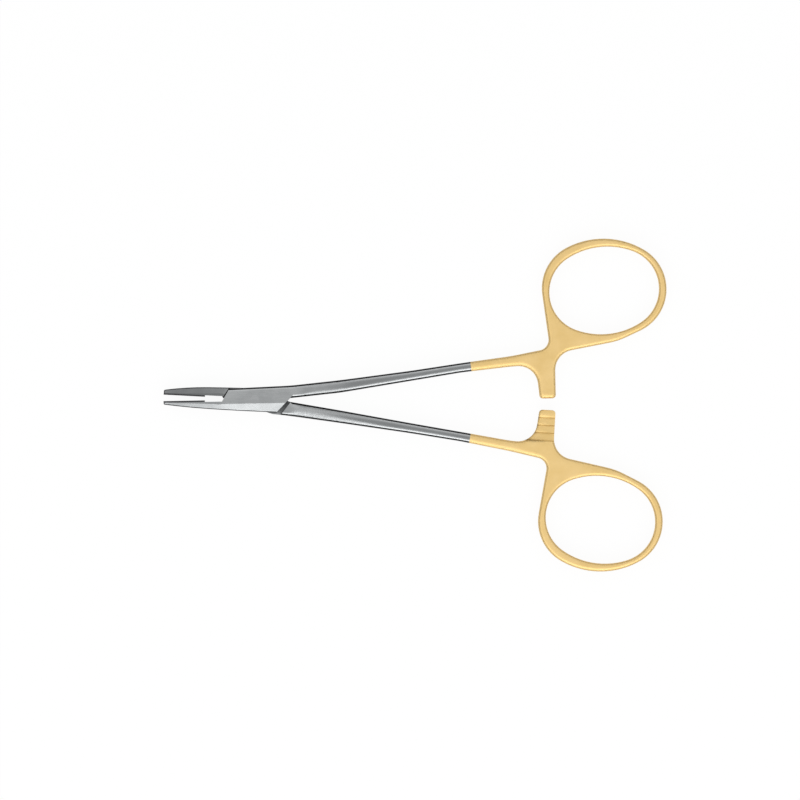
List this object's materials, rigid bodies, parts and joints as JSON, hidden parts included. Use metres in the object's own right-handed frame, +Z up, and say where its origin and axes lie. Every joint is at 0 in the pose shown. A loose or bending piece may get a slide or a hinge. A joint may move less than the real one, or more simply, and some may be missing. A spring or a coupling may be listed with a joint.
{
  "type": "surgical needle holder",
  "caption": "Ring-handled surgical needle holder with a box joint, brazed carbide gripping plates, slim gilded handles and a stepped ratchet between the shanks.",
  "frame": {"origin": "on the joint's axis, at the flat underside of the box joint", "axes": "+X along the instrument from the jaw tips towards the finger rings, +Y towards the box half's handle, +Z up through the thickness and along the joint's axis"},
  "size_m": [0.1293, 0.086, 0.0046],
  "materials": {
    "gilded_steel": "satin stainless steel jaws, box and front of the shanks; the handles are gold plated",
    "rivet_steel": "satin, ground flush with the box",
    "carbide": "dark grey, cross-cut"
  },
  "bodies": {
    "box_side": {"box_half": "gilded_steel", "joint_pin": "rivet_steel", "box_half_insert": "carbide"},
    "tenon_side": {"tenon_half": "gilded_steel", "tenon_half_insert": "carbide"}
  },
  "joints": [
    {"name": "box_joint", "type": "hinge", "parent": "box_side", "child": "tenon_side", "pos_m": [0, 0, 0], "axis": [0, 0, -1], "range_deg": [-3.97, 36]}
  ]
}
